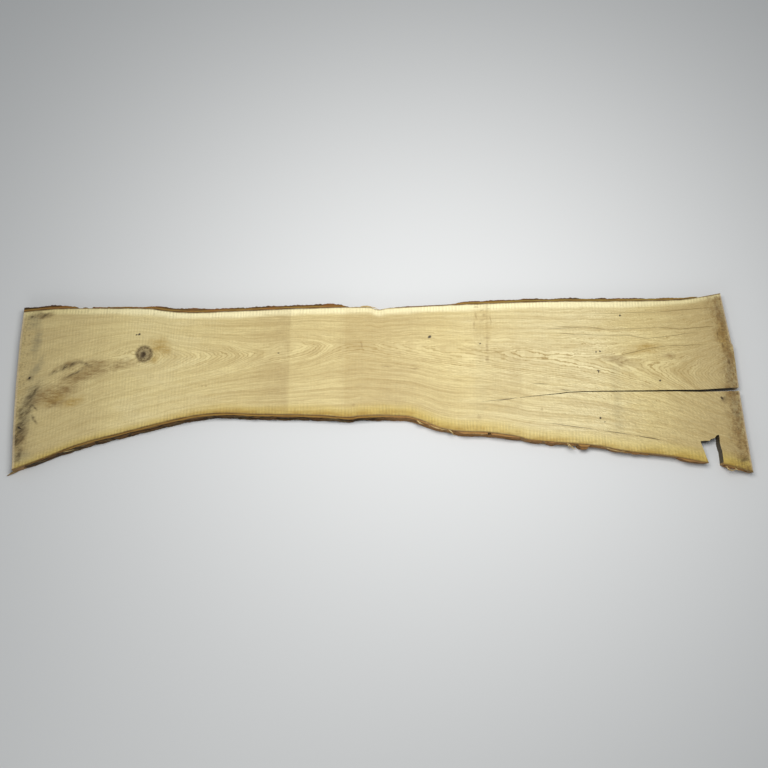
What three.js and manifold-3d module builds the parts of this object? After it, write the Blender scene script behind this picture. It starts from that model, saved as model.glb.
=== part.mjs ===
// Oak tabletop: one live-edge slab about 4 m long, sawn flat on both faces, with the bark that still
// clings to its two natural edges. A drying crack runs in from one end, and a corner piece is cut out.
// Units are millimetres. +X runs along the slab, +Y across it to the far edge and +Z up. The origin is
// on the underside, under the middle of the overall box.
import * as THREE from 'three';
import { mergeVertices } from 'three/addons/utils/BufferGeometryUtils.js';
import Module from 'manifold-3d';

const wasm = await Module();
wasm.setup();

// Sawing: two flat parallel faces, cross-sections every 25 mm, and the heights that shape the flanks
const THICKNESS = 54;
const STATION_STEP = 25;
const FLANK_LEVELS = [0, 18, 36, THICKNESS];
const OVERCUT = 18;

// The far natural edge of the top face, [along, across], with a torn nick near the middle
const FAR_EDGE = [
  [-2060, 410], [-1938, 423], [-1824, 432], [-1500, 435], [-1309, 432], [-1222, 420], [-1135, 411],
  [-1021, 409], [-850, 416], [-449, 433], [-106, 442], [-45, 440], [-2, 426], [45, 434], [124, 440],
  [583, 462], [1043, 478], [1273, 478], [1618, 483], [1734, 488], [1850, 504], [1968, 527], [2080, 545],
];

// The near natural edge of the top face: a long sweep in to the waist, then out again in steps
const NEAR_EDGE = [
  [-2060, -536], [-1940, -486], [-1836, -445], [-1732, -400], [-1628, -359], [-1415, -300],
  [-1092, -216], [-983, -196], [-873, -186], [-652, -193], [-321, -199], [-155, -210], [-100, -202],
  [120, -202], [175, -207], [230, -224], [285, -247], [339, -269], [394, -281], [449, -289],
  [608, -295], [776, -321], [819, -334], [1091, -359], [1205, -370], [1345, -398], [1603, -428],
  [1793, -464], [1872, -472], [2080, -530],
];

// How far the flank's foot stands out past the top edge, [along, outward]
const FAR_FLARE = [[-2060, 3], [-1300, 5], [600, 6], [1500, 4], [1900, 1], [2080, 1]];
const NEAR_FLARE = [[-2060, 2], [-1500, 6], [800, 5], [1300, 0], [1700, -5], [2080, -4]];
const FLANK_BULGE = 1.5;
const FLANK_RIPPLE = 1.2;

// The two chainsawn ends, [along, across], from the far edge to the near edge
const LEFT_END = [[-2029, 460], [-2030, 230], [-2021, -26], [-2004, -283], [-1986, -466], [-1976, -580]];
const RIGHT_END = [[1966, 560], [1991, 300], [1998, 224], [2006, 206], [2009, -40], [2018, -283], [2033, -580]];

// The drying crack, [along, across, width], from its fine inner end to its mouth
const CRACK = [
  [787, -96, 1.5], [898, -84, 2.5], [1010, -73, 4], [1060, -65, 4], [1122, -63, 4.5], [1235, -60, 4.5],
  [1345, -59, 5.5], [1512, -58, 7], [1650, -56, 9], [1790, -57, 12], [1900, -52, 16], [2060, -45, 21],
];

// The corner cut-out, open to the near edge: two saw cuts and a torn inner end
const NOTCH = [
  [1814, -560], [1796, -468], [1762, -344], [1813, -342], [1820, -334], [1842, -328], [1855, -313],
  [1865, -309], [1868, -320], [1866, -352], [1870, -382], [1874, -396], [1875, -448], [1872, -560],
];

// A splinter left hanging where the saw broke out at the near left corner
const SPLINTER = [[-2024, -529], [-2001, -508], [-1960, -478], [-1950, -492], [-1984, -512]];
const SPLINTER_FOOT = 8;
const SPLINTER_THICKNESS = 10;

// The decayed heart of the knot, a shallow pit
const KNOT = [-1320, 158];
const KNOT_PIT_RADIUS = 9;
const KNOT_PIT_DEPTH = 6;
const KNOT_PIT_STRETCH = 1.35;

// Bark: each run that still clings, with its thickness as [along, thickness]
const BARK_GAP = 0.3;
const BARK_FOOT = 0.5;
const BARK_LEVELS = [BARK_FOOT, 10, 20, 32, 43, THICKNESS];
const BARK_EMBED = 9;
const BARK_END_TAPER = 45;
const BARK_END_SHARE = 0.3;
const FURROW_SPACING = 19;
const FURROW_DEPTH_SHARE = 0.3;
const BARK_RUNS = [
  { name: 'bark_far_left', side: 1, endTaper: 12,
    thickness: [[-2060, 28], [-1900, 28], [-1820, 24], [-1705, 22]] },
  { name: 'bark_far_middle', side: 1, thickness: [[-1660, 9], [-1480, 10], [-1350, 14], [-1230, 28],
    [-1080, 30], [-860, 26], [-700, 28], [-440, 30], [-155, 24]] },
  { name: 'bark_far_right', side: 1, thickness: [[95, 5], [420, 7], [480, 20], [1200, 24], [1855, 12]] },
  { name: 'bark_near_left', side: -1, thickness: [[-1940, 5], [-1735, 7], [-1680, 15], [-1400, 17],
    [-700, 18], [-200, 15], [195, 13], [220, 16], [300, 9], [380, 4]] },
  { name: 'bark_near_middle', side: -1, thickness: [[400, 10], [480, 15], [610, 15], [700, 12], [800, 7]] },
  { name: 'bark_near_flake_a', side: -1, thickness: [[830, 5], [865, 7], [900, 5]] },
  { name: 'bark_near_flake_b', side: -1, thickness: [[914, 9], [950, 12], [995, 8]] },
  { name: 'bark_near_lump', side: -1, endTaper: 10,
    thickness: [[1080, 22], [1120, 25], [1167, 23]] },
  { name: 'bark_near_flake_c', side: -1, thickness: [[1255, 6], [1300, 7], [1345, 5]] },
  { name: 'bark_near_strip', side: -1, thickness: [[1605, 4], [1690, 13], [1785, 4]] },
  { name: 'bark_near_corner', side: -1, thickness: [[1885, 7], [1915, 10], [1950, 6]] },
];

// A hole rotted between bark and wood, and a nick broken from the bark's outer edge
const BARK_HOLE = { along: 610, radius: 11, depth: 34 };
const BARK_NICK = { along: 404, radius: 9, outward: 20 };

const oakMaterial = new THREE.MeshStandardMaterial({ color: 0xd9c994, roughness: 0.72, metalness: 0 });
const barkMaterial = new THREE.MeshStandardMaterial({ color: 0x6f4a2a, roughness: 0.95, metalness: 0 });

// A smooth line through hand-set points [along, value]: a cubic between each pair of neighbours
function smoothThrough(points) {
  const last = points.length - 1;
  const slopes = points.map((point, i) => {
    const before = points[Math.max(i - 1, 0)];
    const after = points[Math.min(i + 1, last)];
    return (after[1] - before[1]) / (after[0] - before[0]);
  });
  return (along) => {
    const next = points.findIndex((point) => point[0] > along);
    const i = next === -1 ? last - 1 : Math.max(next - 1, 0);
    const span = points[i + 1][0] - points[i][0];
    const t = THREE.MathUtils.clamp((along - points[i][0]) / span, 0, 1);
    const lift = points[i][1] * (2 * t ** 3 - 3 * t ** 2 + 1) + points[i + 1][1] * (3 * t ** 2 - 2 * t ** 3);
    return lift + span * (slopes[i] * (t ** 3 - 2 * t ** 2 + t) + slopes[i + 1] * (t ** 3 - t ** 2));
  };
}

const edgeLine = { 1: smoothThrough(FAR_EDGE), '-1': smoothThrough(NEAR_EDGE) };
const flareLine = { 1: smoothThrough(FAR_FLARE), '-1': smoothThrough(NEAR_FLARE) };

// The flank's outward distance from the top edge at a height: flare to the foot, a bulge and ripples
function flankRelief(side, along, height) {
  const drop = 1 - height / THICKNESS;
  const ripple = Math.sin(along / 61 + 2.1 * side) * Math.sin(along / 23 + height / 15 + side);
  return flareLine[side](along) * drop + (FLANK_BULGE + FLANK_RIPPLE * ripple) * Math.sin(Math.PI * drop);
}

// Across position of the wood's flank, grown outwards by a clearance
function flank(side, along, height, clearance = 0) {
  return edgeLine[side](along) + side * (flankRelief(side, along, height) + clearance);
}

function stations(from, to) {
  const steps = Math.ceil((to - from) / STATION_STEP);
  return Array.from({ length: steps + 1 }, (unused, i) => from + ((to - from) * i) / steps);
}

// A closed body through cross-sections: each one goes up the near side and down the far side
function loft(alongs, levels, farAt, nearAt) {
  const ring = 2 * levels.length;
  const positions = [];
  for (const along of alongs) {
    for (const height of levels) positions.push(along, nearAt(along, height), height);
    for (const height of [...levels].reverse()) positions.push(along, farAt(along, height), height);
  }
  const index = [];
  for (let i = 0; i + 1 < alongs.length; i += 1) {
    for (let k = 0; k < ring; k += 1) {
      const here = i * ring + k;
      const above = i * ring + ((k + 1) % ring);
      index.push(here, here + ring, above + ring, here, above + ring, above);
    }
  }
  const lastRing = (alongs.length - 1) * ring;
  for (let j = 0; j + 1 < levels.length; j += 1) {
    const quad = [j, j + 1, ring - 2 - j, ring - 1 - j];
    index.push(quad[0], quad[1], quad[2], quad[0], quad[2], quad[3]);
    index.push(...[quad[0], quad[2], quad[1], quad[0], quad[3], quad[2]].map((k) => lastRing + k));
  }
  const geometry = new THREE.BufferGeometry();
  geometry.setAttribute('position', new THREE.Float32BufferAttribute(positions, 3));
  geometry.setIndex(index);
  return geometry;
}

function prism(outline, foot, height) {
  const shape = new THREE.Shape(outline.map(([along, across]) => new THREE.Vector2(along, across)));
  return new THREE.ExtrudeGeometry(shape, { depth: height, bevelEnabled: false }).translate(0, 0, foot);
}

function toSolid(geometry) {
  geometry.deleteAttribute('normal');
  geometry.deleteAttribute('uv');
  const merged = mergeVertices(geometry, 1e-3);
  return new wasm.Manifold(new wasm.Mesh({
    numProp: 3,
    vertProperties: new Float32Array(merged.attributes.position.array),
    triVerts: new Uint32Array(merged.index.array),
  }));
}

function toMesh(name, solid, material) {
  const { vertProperties, triVerts } = solid.getMesh();
  const geometry = new THREE.BufferGeometry();
  geometry.setAttribute('position', new THREE.BufferAttribute(vertProperties, 3));
  geometry.setIndex(new THREE.BufferAttribute(triVerts, 1));
  geometry.computeVertexNormals();
  const mesh = new THREE.Mesh(geometry, material);
  mesh.name = name;
  return mesh;
}

// Everything between the two end cuts, wider and taller than the slab
function betweenEnds() {
  const outline = [...LEFT_END, ...[...RIGHT_END].reverse()];
  return toSolid(prism(outline, -OVERCUT, THICKNESS + 2 * OVERCUT));
}

// The crack's outline from its centre line and widths, cut through the whole thickness
function crackCutter() {
  const farSide = CRACK.map(([along, across, width]) => [along, across + width / 2]);
  const nearSide = CRACK.map(([along, across, width]) => [along, across - width / 2]);
  return toSolid(prism([...nearSide, ...farSide.reverse()], -OVERCUT, THICKNESS + 2 * OVERCUT));
}

function notchCutter() {
  return toSolid(prism(NOTCH, -OVERCUT, THICKNESS + 2 * OVERCUT));
}

function knotPitCutter() {
  const pit = new THREE.CylinderGeometry(KNOT_PIT_RADIUS, KNOT_PIT_RADIUS * 0.6, 2 * KNOT_PIT_DEPTH, 12);
  pit.rotateX(Math.PI / 2);
  pit.scale(KNOT_PIT_STRETCH, 1, 1);
  return toSolid(pit.translate(KNOT[0], KNOT[1], THICKNESS));
}

const wholeLength = stations(FAR_EDGE[0][0], FAR_EDGE[FAR_EDGE.length - 1][0]);
const sawnLength = betweenEnds();

// The wood between its natural flanks, or with a clearance and an overcut, the tool that fits bark to it
function woodLoft(levels, clearance) {
  const farAt = (along, height) => flank(1, along, height, clearance);
  const nearAt = (along, height) => flank(-1, along, height, clearance);
  return toSolid(loft(wholeLength, levels, farAt, nearAt));
}

function oakSlab() {
  return woodLoft(FLANK_LEVELS, 0)
    .intersect(sawnLength)
    .subtract(crackCutter())
    .subtract(notchCutter())
    .subtract(knotPitCutter())
    .add(toSolid(prism(SPLINTER, SPLINTER_FOOT, SPLINTER_THICKNESS)));
}

// Bark thickness at a place: the run's own line, thinner at its broken ends and in its long furrows
function barkRelief(run, along, height) {
  const from = run.thickness[0][0];
  const to = run.thickness[run.thickness.length - 1][0];
  const fromEnd = Math.min(along - from, to - along) / (run.endTaper ?? BARK_END_TAPER);
  const ends = BARK_END_SHARE + (1 - BARK_END_SHARE) * THREE.MathUtils.smoothstep(fromEnd, 0, 1);
  const wander = 0.35 * Math.sin(along / 140) + 0.15 * Math.sin(along / 47);
  const furrow = 0.5 + 0.5 * Math.cos(2 * Math.PI * (height / FURROW_SPACING + wander));
  const plates = 1 + 0.1 * Math.sin(along / 31 + height / 11);
  return run.thicknessLine(along) * ends * plates * (1 - FURROW_DEPTH_SHARE * furrow);
}

function barkBody(run, fittingTool) {
  const from = run.thickness[0][0];
  const to = run.thickness[run.thickness.length - 1][0];
  run.thicknessLine = smoothThrough(run.thickness);
  const outside = (along, height) => flank(run.side, along, height, barkRelief(run, along, height));
  const inside = (along, height) => flank(run.side, along, height, -BARK_EMBED);
  const farAt = run.side === 1 ? outside : inside;
  const nearAt = run.side === 1 ? inside : outside;
  return toSolid(loft(stations(from, to), BARK_LEVELS, farAt, nearAt))
    .subtract(fittingTool)
    .intersect(sawnLength);
}

function drill(along, across, radius, depth) {
  const hole = new THREE.CylinderGeometry(radius, radius * 0.8, 2 * depth, 10);
  return toSolid(hole.rotateX(Math.PI / 2).translate(along, across, THICKNESS));
}

function barkMeshes() {
  const fittingTool = woodLoft([-OVERCUT, ...FLANK_LEVELS, THICKNESS + OVERCUT], BARK_GAP);
  const holeAcross = flank(-1, BARK_HOLE.along, THICKNESS, BARK_HOLE.radius * 0.5);
  const nickAcross = flank(-1, BARK_NICK.along, THICKNESS, BARK_NICK.outward);
  const damage = {
    bark_near_middle: [
      drill(BARK_HOLE.along, holeAcross, BARK_HOLE.radius, BARK_HOLE.depth),
      drill(BARK_NICK.along, nickAcross, BARK_NICK.radius, 2 * THICKNESS),
    ],
  };
  return BARK_RUNS.map((run) => {
    const cuts = damage[run.name] ?? [];
    const body = cuts.reduce((solid, cut) => solid.subtract(cut), barkBody(run, fittingTool));
    return toMesh(run.name, body, barkMaterial);
  });
}

const tabletop = new THREE.Group();
const bark = new THREE.Group();
bark.add(...barkMeshes());
tabletop.add(toMesh('oak_slab', oakSlab(), oakMaterial), bark);

export default tabletop;
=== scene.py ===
# %% [markdown]
# # A live-edge oak tabletop
# The real thing is one slab sawn through an oak log, about 4 m long and 54 mm thick. Both faces are
# flat from the band saw, both long edges are the tree's own outline, and some bark still clings there.
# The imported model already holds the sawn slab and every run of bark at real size. This lesson keeps
# those sizes and gives each piece its surface: growth rings, sapwood, a knot, stains, saw marks,
# a drying crack with torn walls, and furrowed bark.

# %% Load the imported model
import math

import bmesh
import bpy
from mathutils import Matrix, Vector, noise


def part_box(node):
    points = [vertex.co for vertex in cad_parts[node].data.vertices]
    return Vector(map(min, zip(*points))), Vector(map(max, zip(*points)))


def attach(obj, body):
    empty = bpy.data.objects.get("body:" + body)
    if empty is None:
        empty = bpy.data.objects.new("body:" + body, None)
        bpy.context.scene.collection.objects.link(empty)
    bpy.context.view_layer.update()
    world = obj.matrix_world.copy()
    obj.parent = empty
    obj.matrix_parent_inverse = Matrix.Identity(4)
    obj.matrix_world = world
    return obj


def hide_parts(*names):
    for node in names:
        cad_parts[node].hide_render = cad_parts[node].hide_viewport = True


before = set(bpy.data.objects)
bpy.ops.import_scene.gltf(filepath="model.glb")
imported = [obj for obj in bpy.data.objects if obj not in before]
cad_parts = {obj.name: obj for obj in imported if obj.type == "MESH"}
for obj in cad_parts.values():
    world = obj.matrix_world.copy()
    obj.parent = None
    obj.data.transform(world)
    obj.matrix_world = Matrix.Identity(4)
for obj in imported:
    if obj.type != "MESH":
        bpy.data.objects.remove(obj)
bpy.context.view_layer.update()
SLAB_LOW, SLAB_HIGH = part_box("oak_slab")
THICKNESS = SLAB_HIGH.z
print("slab", [round(v, 3) for v in SLAB_HIGH - SLAB_LOW], "m")

# %% [markdown]
# ## The slab's outline
# The two natural edges are smooth lines through a few measured places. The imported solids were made
# from the same places, so the rings, the sapwood and the finer flanks made here can follow them.
# A table of hundreds of points would be closer, but nobody could read or change it.

# %% Places along the slab, in millimetres
MM = 0.001
FAR_EDGE = [
    (-2060, 410), (-1938, 423), (-1824, 432), (-1500, 435), (-1309, 432), (-1222, 420), (-1135, 411),
    (-1021, 409), (-850, 416), (-449, 433), (-106, 442), (-45, 440), (-2, 426), (45, 434), (124, 440),
    (583, 462), (1043, 478), (1273, 478), (1618, 483), (1734, 488), (1850, 504), (1968, 527), (2080, 545),
]
NEAR_EDGE = [
    (-2060, -536), (-1940, -486), (-1836, -445), (-1732, -400), (-1628, -359), (-1415, -300),
    (-1092, -216), (-983, -196), (-873, -186), (-652, -193), (-321, -199), (-155, -210), (-100, -202),
    (120, -202), (175, -207), (230, -224), (285, -247), (339, -269), (394, -281), (449, -289),
    (608, -295), (776, -321), (819, -334), (1091, -359), (1205, -370), (1345, -398), (1603, -428),
    (1793, -464), (1872, -472), (2080, -530),
]
KNOT = (-1320, 158)


def smooth_through(points):
    """A smooth line through given points, as a cubic between each pair of neighbours."""
    last = len(points) - 1
    slopes = []
    for i in range(last + 1):
        before, after = points[max(i - 1, 0)], points[min(i + 1, last)]
        slopes.append((after[1] - before[1]) / (after[0] - before[0]))

    def line(along):
        i = next((k - 1 for k in range(1, last + 1) if points[k][0] > along), last - 1)
        (x0, y0), (x1, y1) = points[i], points[i + 1]
        t = min(max((along - x0) / (x1 - x0), 0), 1)
        rise = y0 * (2 * t**3 - 3 * t**2 + 1) + y1 * (3 * t**2 - 2 * t**3)
        return rise + (x1 - x0) * (slopes[i] * (t**3 - 2 * t**2 + t) + slopes[i + 1] * (t**3 - t**2))

    return line


far_line = smooth_through(FAR_EDGE)
near_line = smooth_through(NEAR_EDGE)
print("width at the knot", round(far_line(KNOT[0]) - near_line(KNOT[0])), "mm")

# %% [markdown]
# ## Camera and light
# A long slab is best shown from high up, where its outline reads and its near flank still shows. So
# the camera looks down from beyond the near edge, tilted 16 degrees from straight down and 4.5 m from
# the slab. One broad soft light hangs right of the middle, so both ends fall off a little, as in a
# studio. A low light fills the near flank, and the world adds a dim even fill.

# %% Make the camera
CAMERA_TARGET = Vector((0.032, -0.018, THICKNESS))
CAMERA_DISTANCE = 4.5
CAMERA_TILT = math.radians(16)
CAMERA_LENS = 37.83

camera = bpy.data.objects.new("camera", bpy.data.cameras.new("camera"))
camera.data.sensor_width = 36
camera.data.lens = CAMERA_LENS
towards_camera = Vector((0, -math.sin(CAMERA_TILT), math.cos(CAMERA_TILT)))
camera.location = CAMERA_TARGET + CAMERA_DISTANCE * towards_camera
camera.rotation_euler = (CAMERA_TILT, 0, 0)
bpy.context.scene.collection.objects.link(camera)
bpy.context.scene.camera = camera
bpy.context.scene.view_settings.view_transform = "Standard"
print("camera at", [round(v, 3) for v in camera.location])

# %% Hang the lights and set the fill


def soft_light(name, place, aim, width, depth, watts):
    lamp = bpy.data.lights.new(name, "AREA")
    lamp.shape = "RECTANGLE"
    lamp.size = width
    lamp.size_y = depth
    lamp.energy = watts
    light = bpy.data.objects.new(name, lamp)
    light.location = place
    light.rotation_euler = (Vector(aim) - Vector(place)).to_track_quat("-Z", "Y").to_euler()
    light.visible_camera = False
    bpy.context.scene.collection.objects.link(light)
    return light


soft_light("overhead_softbox", (0.35, 0.35, 2.9), (0.35, 0.1, 0), width=2.2, depth=1.3, watts=92)
soft_light("low_fill", (-1.5, -4.5, 2.2), (0, 0, 0), width=3.0, depth=2.0, watts=40)

SKY_TINT = (0.9, 0.95, 1.0, 1)
SKY_STRENGTH = 0.36
world = bpy.data.worlds.new("studio")
world.use_nodes = True
sky = world.node_tree.nodes["Background"]
sky.inputs["Color"].default_value = SKY_TINT
sky.inputs["Strength"].default_value = SKY_STRENGTH
bpy.context.scene.world = world

# %% [markdown]
# ## Writing finishes as arithmetic
# A shader is a graph of nodes, and drawn by hand it soon becomes a tangle. Here a `Wire` stands for
# one output socket, and adding or multiplying two wires adds the Math node that does it. Every other
# node comes from `Finish.add`, which takes its type, its settings and what goes into its sockets.
# Every place is read from Object coordinates, so a finish lies on the slab at its real size.

# %% A small class for shader maths
DRY_SPECULAR = 0.35


class Wire:
    """One output socket of a node, which takes part in Python arithmetic."""

    def __init__(self, finish, socket):
        self.finish = finish
        self.socket = socket

    def __add__(self, other):
        return self.finish.of("ADD", self, other)

    def __sub__(self, other):
        return self.finish.of("SUBTRACT", self, other)

    def __rsub__(self, other):
        return self.finish.of("SUBTRACT", other, self)

    def __mul__(self, other):
        return self.finish.of("MULTIPLY", self, other)

    def __truediv__(self, other):
        return self.finish.of("DIVIDE", self, other)

    def __pow__(self, other):
        return self.finish.of("POWER", self, other)

    def __abs__(self):
        return self.finish.of("ABSOLUTE", self)

    __radd__ = __add__
    __rmul__ = __mul__


class Finish:
    """A material under construction."""

    def __init__(self, name, roughness):
        self.material = bpy.data.materials.new(name)
        self.material.use_nodes = True
        self.nodes = self.material.node_tree.nodes
        self.shader = self.nodes["Principled BSDF"]
        self.shader.inputs["Roughness"].default_value = roughness
        self.shader.inputs["Specular IOR Level"].default_value = DRY_SPECULAR
        self.place = self.add("ShaderNodeTexCoord", {}, {}, "Object")
        self.x, self.y, self.z = self.split(self.place)

    def add(self, kind, settings, sockets, output=0):
        node = self.nodes.new(kind)
        for name, value in settings.items():
            if name == "stops":
                ramp = node.color_ramp.elements
                ramp[0].position, ramp[0].color = value[0]
                ramp[1].position, ramp[1].color = value[-1]
                for position, colour in value[1:-1]:
                    ramp.new(position).color = colour
            elif name == "curve":
                points = node.mapping.curves[0].points
                points[0].location = value[0]
                points[1].location = value[-1]
                for x, y in value[1:-1]:
                    points.new(x, y)
                node.mapping.update()
            else:
                setattr(node, name, value)
        for name, value in sockets.items():
            self.join(value, node.inputs[name])
        return Wire(self, node.outputs[output])

    def join(self, value, socket):
        if isinstance(value, Wire):
            self.material.node_tree.links.new(value.socket, socket)
        else:
            socket.default_value = value

    def split(self, vector):
        first = self.add("ShaderNodeSeparateXYZ", {}, {"Vector": vector})
        return [Wire(self, first.socket.node.outputs[axis]) for axis in "XYZ"]

    def of(self, operation, *inputs):
        return self.add("ShaderNodeMath", {"operation": operation}, dict(enumerate(inputs)))

    def smooth(self, value, low, high):
        sockets = {"Value": value, "From Min": low, "From Max": high}
        return self.add("ShaderNodeMapRange", {"interpolation_type": "SMOOTHSTEP"}, sockets)

    def mix(self, share, first, second):
        return self.add("ShaderNodeMix", {"data_type": "RGBA"}, {0: share, 6: first, 7: second}, 2)

    def darken(self, colour, share):
        """The colour with a share of black in it; a negative share makes it lighter."""
        settings = {"data_type": "RGBA", "clamp_factor": False}
        return self.add("ShaderNodeMix", settings, {0: share, 6: colour, 7: (0, 0, 0, 1)}, 2)

    def cells(self, size, turn=0.0, centre=(0, 0, 0), vector=None):
        """A place counted in cells of a given size in metres, turned about Z."""
        sockets = {
            "Vector": vector or self.place, "Location": centre, "Rotation": (0, 0, turn), "Scale": size,
        }
        return self.add("ShaderNodeMapping", {"vector_type": "TEXTURE"}, sockets)

    def cloud(self, size, detail=2.0, roughness=0.5, turn=0.0, centre=(0, 0, 0)):
        """Soft noise from 0 to 1, in cells of a given size."""
        cells = self.cells(size, turn, centre)
        sockets = {"Vector": cells, "Scale": 1.0, "Detail": detail, "Roughness": roughness}
        return self.add("ShaderNodeTexNoise", {}, sockets, "Fac")

    def reach(self, cells):
        """How many cells a place is from their centre."""
        return self.add("ShaderNodeVectorMath", {"operation": "LENGTH"}, {0: cells}, "Value")

    def raise_by(self, height, metres):
        sockets = {"Height": height, "Distance": metres, "Strength": 1.0}
        return self.add("ShaderNodeBump", {}, sockets)


print("shader helpers ready")

# %% [markdown]
# ## Growth rings
# A sawn face shows where the saw met the tree's rings. Deep in the log the rings are nested tubes
# round the pith, and the pith of this slab lies below the face and wanders. Where it rises or sinks,
# the face meets the tubes as nested arrowheads, and near the edges as long lines.
# One number says which ring a point is on: 1 at the bark, and less towards the pith. It is a distance
# from the pith, made from the two edge lines, a line over the pith and the pith's depth. A true
# distance would give round tips; a power near one draws them out to points, as on this slab. And near
# the pith the rings are wide, so the distance starts slowly there.

# %% Lines that steer the rings, in millimetres
ALONG = (-2060, 2080)
ACROSS = (-600, 600)
PITH_LINE = [
    (-2060, -150), (-1850, -60), (-1759, -8), (-1620, 58), (-1504, 112), (-1320, 150), (-1145, 140),
    (-864, 152), (-656, 170), (-415, 205), (-132, 212), (236, 205), (574, 178), (939, 146), (1358, 106),
    (1553, 84), (1745, 48), (1884, 34), (2080, 25),
]
PITH_DEPTH = [
    # along, and how deep the pith lies under the top face, as a share of the half width
    (-2060, 0.13), (-1500, 0.13), (-1320, 0.15), (-1145, 0.21), (-864, 0.295), (-656, 0.365),
    (-440, 0.380), (-150, 0.465), (60, 0.448), (236, 0.430), (574, 0.418), (939, 0.405), (1250, 0.392),
    (1400, 0.372), (1553, 0.345), (1700, 0.300), (1884, 0.215), (2080, 0.12),
]
LEFT_END = [(-600, -1974), (-466, -1986), (-283, -2004), (-26, -2021), (230, -2030), (600, -2029)]
RIGHT_END = [(-600, 2034), (-283, 2018), (-40, 2009), (206, 2006), (224, 1998), (300, 1991), (600, 1963)]
print("the pith wanders", max(y for x, y in PITH_LINE) - min(y for x, y in PITH_LINE), "mm across the slab")

# %% [markdown]
# ### Reading a line in a shader
# A shader can't call Python, but a Float Curve node holds a smooth line through a few places. It works
# from 0 to 1, so each place goes in as a share of the slab's length or width and comes back in metres.

# %% Measure how far a point is from each edge


def share_of(value, span):
    return (value - span[0]) / (span[1] - span[0])


def drawn(finish, share, points, span, limits):
    """A Float Curve through given points, read back in the points' own unit."""
    curve = [(share_of(x, span), share_of(y, limits)) for x, y in points]
    value = finish.add("ShaderNodeFloatCurve", {"curve": curve}, {"Value": share})
    return value * (limits[1] - limits[0]) + limits[0]


class Edges:
    """How far in a point is from each edge and each end of the slab, in metres."""

    def __init__(self, finish):
        along = share_of(finish.x / MM, ALONG)
        across = share_of(finish.y / MM, ACROSS)
        self.far = drawn(finish, along, FAR_EDGE, ALONG, ACROSS) * MM
        self.near = drawn(finish, along, NEAR_EDGE, ALONG, ACROSS) * MM
        self.from_far = self.far - finish.y
        self.from_near = finish.y - self.near
        self.from_left = finish.x - drawn(finish, across, LEFT_END, ACROSS, ALONG) * MM
        self.from_right = drawn(finish, across, RIGHT_END, ACROSS, ALONG) * MM - finish.x


print("a finish can measure from both edges and both ends")

# %% [markdown]
# ### Counting the years
# Two noises sway the lines a little, as no tree grows evenly, and the wood swings round the knot. The
# whole part of the count is the year, and the rest says how far through it a point is: the spring wood
# with its dark pores comes first, and the paler summer wood follows.

# %% Count the years
HALF_WIDTH = 0.35  # of the slab in metres, the unit of the pith's depth
RING_COUNT = 105
TIP_POWER = 1.15  # 1 gives pointed tips, and 2 gives round ones
FLAT_SHARE = 0.25  # how fast the rings pass next to the pith, against their mean
KNOT_SWING = (0.13, 0.075)  # how far along and across the wood swings round the knot, in metres
ENDLESS = 9  # a cell this deep, in metres, makes a pattern that is the same at every height


class Rings:
    """Which year's ring a point lies in, for a finish, and how far through that year."""

    def __init__(self, finish, edges):
        along = share_of(finish.x / MM, ALONG)
        pith = drawn(finish, along, PITH_LINE, ALONG, ACROSS) * MM
        sway = finish.cloud((0.30, 0.10, 0.3), 2) - 0.5
        ripple = finish.cloud((0.05, 0.02, 0.1), 3) - 0.5
        depth = drawn(finish, along, PITH_DEPTH, ALONG, (0, 1)) - (THICKNESS - finish.z) / HALF_WIDTH
        depth = depth + sway * 0.03 + ripple * 0.007
        curly = 0.010 + 0.018 * finish.smooth(finish.x, 0.9, 1.3)
        swayed = finish.y + sway * 0.030 + ripple * curly
        knot_cells = finish.cells((*KNOT_SWING, ENDLESS), centre=(KNOT[0] * MM, KNOT[1] * MM, 0))
        knot_reach = finish.reach(knot_cells)
        detour = 1 - 0.85 * finish.of("EXPONENT", -1 * knot_reach * knot_reach)
        far_share = (swayed - pith) / (edges.far - pith)
        near_share = (pith - swayed) / (pith - edges.near)
        outward = finish.of("MAXIMUM", far_share, near_share) * detour
        spread = outward * (FLAT_SHARE + (1 - FLAT_SHARE) * outward)
        from_pith = (spread ** TIP_POWER + abs(depth) ** TIP_POWER) ** (1 / TIP_POWER)

        drift = finish.cloud((0.10, 0.02, 0.1), 2, 0.5) - 0.5
        jitter = finish.cloud((0.022, 0.010, 0.05), 2, 0.5) - 0.5
        self.count = from_pith * RING_COUNT + drift * 1.2 + jitter * 0.6
        part = finish.of("FRACT", self.count)
        year = finish.of("FLOOR", self.count)
        self.year_chance = finish.add("ShaderNodeTexWhiteNoise", {"noise_dimensions": "1D"}, {"W": year})
        rise = finish.smooth(part, 0.86, 1.0)
        fall = 1 - finish.smooth(part, 0.02, 0.34)
        self.early = finish.of("MAXIMUM", rise, fall)

    def spell(self, finish, years, length, detail):
        """A run of good or lean years, which fades in and out along the log."""
        place = finish.add("ShaderNodeCombineXYZ", {}, {"X": finish.x / length, "Y": self.count / years})
        sockets = {"Vector": place, "Scale": 1.0, "Detail": detail}
        return finish.add("ShaderNodeTexNoise", {"noise_dimensions": "2D"}, sockets, "Fac")


print(RING_COUNT, "rings from pith to bark")

# %% [markdown]
# ## Marks on the sawn face
# A face like this is read by its marks as much as by its rings: pin knots, dark streaks, rust from
# nails in the drying stack, and pale or brown bands where the stacking sticks lay. Each mark is an
# ellipse at its own place, roughened by a warp, so a short list of real places holds all of them.
# Painting them on a picture would be quicker, but it would blur close by and couldn't be changed.

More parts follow.
